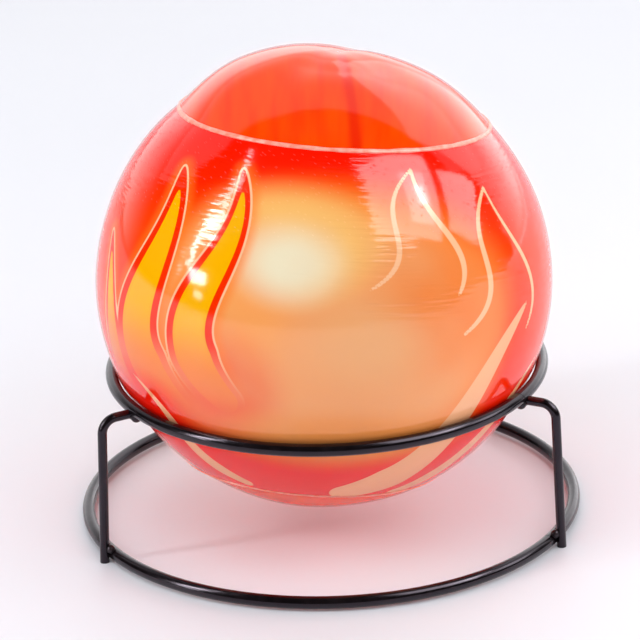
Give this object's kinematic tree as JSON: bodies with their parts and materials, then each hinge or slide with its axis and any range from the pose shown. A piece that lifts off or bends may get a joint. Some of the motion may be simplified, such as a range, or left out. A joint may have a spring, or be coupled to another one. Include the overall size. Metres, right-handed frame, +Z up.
{
  "type": "fire extinguisher ball",
  "caption": "Ball of dry fire-fighting powder in a printed shrink film over a foam shell, resting in a round black wire stand.",
  "frame": {"origin": "on the floor, on the common axis of the stand's two rings", "axes": "+Z up along the axis of the rings, -Y towards the front, +X to the right seen from the front"},
  "size_m": [0.1666, 0.1693, 0.1568],
  "materials": {
    "printed_film": "printed PVC shrink film, glossy, red and orange",
    "cap_film": "PVC shrink film, glossy, orange red",
    "foam": "moulded rigid foam, off-white, fine cell grain",
    "sealing_wax": "soft sealing compound",
    "fuse_yarn": "braided yarn over a powder core, waxed green",
    "rolled_card": "rolled kraft card",
    "card_plug": "pressed card plug",
    "black_powder": "pressed black powder, matt dark grey",
    "dry_powder": "packed dry chemical powder, pale yellow",
    "stand_coat": "steel wire, glossy black dip coat",
    "weld_coat": "weld beads under the same black coat"
  },
  "bodies": {
    "root": {"film_sleeve": "printed_film", "film_cap_top": "cap_film", "film_cap_bottom": "cap_film", "shell_upper": "foam", "shell_lower": "foam", "fill_plug": "foam", "cord_seal": "sealing_wax", "fuse_cord_upper": "fuse_yarn", "fuse_cord_lower": "fuse_yarn", "charge_tube": "rolled_card", "tube_plug_upper": "card_plug", "tube_plug_lower": "card_plug", "burst_charge": "black_powder", "powder_fill": "dry_powder", "upper_ring": "stand_coat", "lower_ring": "stand_coat", "leg_left": "stand_coat", "leg_right": "stand_coat", "leg_back": "stand_coat", "upper_welds": "weld_coat", "lower_welds": "weld_coat"}
  },
  "joints": []
}
